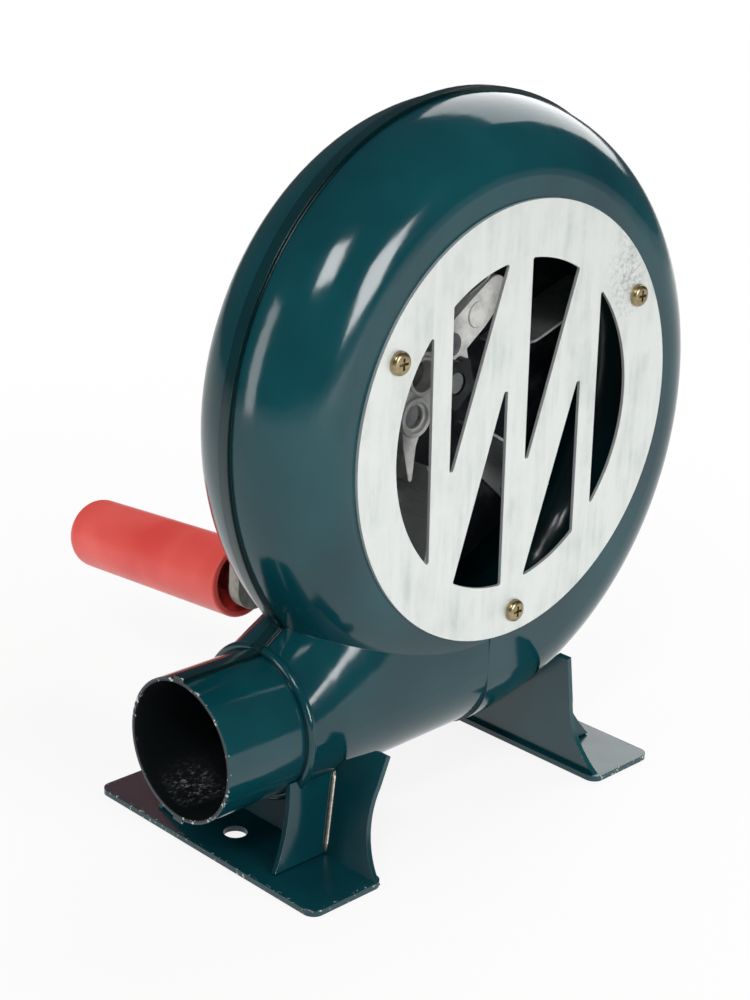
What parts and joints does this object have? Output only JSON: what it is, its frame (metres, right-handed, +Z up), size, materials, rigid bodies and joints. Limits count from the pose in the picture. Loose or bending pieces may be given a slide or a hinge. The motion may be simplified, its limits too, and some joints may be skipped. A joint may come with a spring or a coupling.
{
  "type": "hand crank forge blower",
  "caption": "Hand crank blower: a round sheet metal scroll on two splayed feet, with a side outlet pipe, a slotted inlet guard and a geared crank with a turning grip behind.",
  "frame": {"origin": "on the floor plane, midway between the two foot bolt holes", "axes": "+Z up along the foot bolts, +X to the right seen from the inlet guard (the outlet pipe points to -X), +Y to the back, where the crank is"},
  "size_m": [0.2237, 0.2031, 0.2378],
  "materials": {
    "enamel": "gloss stoving enamel, dark teal green",
    "galvanised_sheet": "bright zinc coated sheet with mottled streaks",
    "yellow_zinc": "yellow passivated zinc plate",
    "cast_metal": "as-cast, fine sandy skin",
    "zinc_steel": "bright zinc plate",
    "ground_steel": "ground",
    "gear_steel": "hobbed teeth, oiled",
    "bronze": "sintered bush",
    "red_plastic": "gloss moulded",
    "dark_steel": "blackened",
    "dark_enamel": "dark paint",
    "blade_sheet": "mill finish sheet"
  },
  "bodies": {
    "housing": {"front_shell": "enamel", "rear_shell": "enamel", "inlet_guard": "galvanised_sheet", "guard_screws": "yellow_zinc", "left_foot": "enamel", "right_foot": "enamel", "left_gussets": "enamel", "right_gussets": "enamel", "gearbox_base": "cast_metal", "gearbox_cover": "cast_metal", "gearbox_screws": "zinc_steel", "gearbox_nuts": "zinc_steel", "fan_bush": "bronze", "fan_tail_bush": "bronze", "crank_bush": "bronze", "crank_tail_bush": "bronze", "idler_pin": "ground_steel"},
    "crank": {"crank_shaft": "ground_steel", "drive_key": "ground_steel", "drive_gear": "gear_steel", "crank_arm": "cast_metal", "crank_washer": "zinc_steel", "crank_nut": "zinc_steel", "handle_pin": "ground_steel", "pin_ring": "ground_steel"},
    "grip": {"grip": "red_plastic"},
    "idler": {"idler_gear": "gear_steel", "idler_pinion": "gear_steel"},
    "fan": {"fan_shaft": "ground_steel", "fan_pinion": "gear_steel", "fan_hub": "cast_metal", "hub_pins": "ground_steel", "fan_collar": "dark_steel", "fan_disc": "dark_enamel", "fan_blades": "blade_sheet", "blade_rivets": "zinc_steel", "fan_spacer": "dark_steel"}
  },
  "joints": [
    {"name": "crank_spin", "type": "hinge", "parent": "housing", "child": "crank", "pos_m": [-0.01532, 0.045, 0.15197], "axis": [0, 1, 0], "continuous": true},
    {"name": "idler_spin", "type": "hinge", "parent": "housing", "child": "idler", "pos_m": [0.00734, 0.04, 0.13419], "axis": [0, 1, 0], "continuous": true},
    {"name": "fan_spin", "type": "hinge", "parent": "housing", "child": "fan", "pos_m": [0.026, 0.02, 0.1387], "axis": [0, 1, 0], "continuous": true},
    {"name": "grip_spin", "type": "hinge", "parent": "crank", "child": "grip", "pos_m": [-0.01384, 0.0587, 0.05788], "axis": [0.0013, 0.9965, -0.0837], "continuous": true}
  ],
  "couplings": [
    {"joint": "idler_spin", "follows": "crank_spin", "ratio": -5},
    {"joint": "fan_spin", "follows": "crank_spin", "ratio": 15}
  ]
}
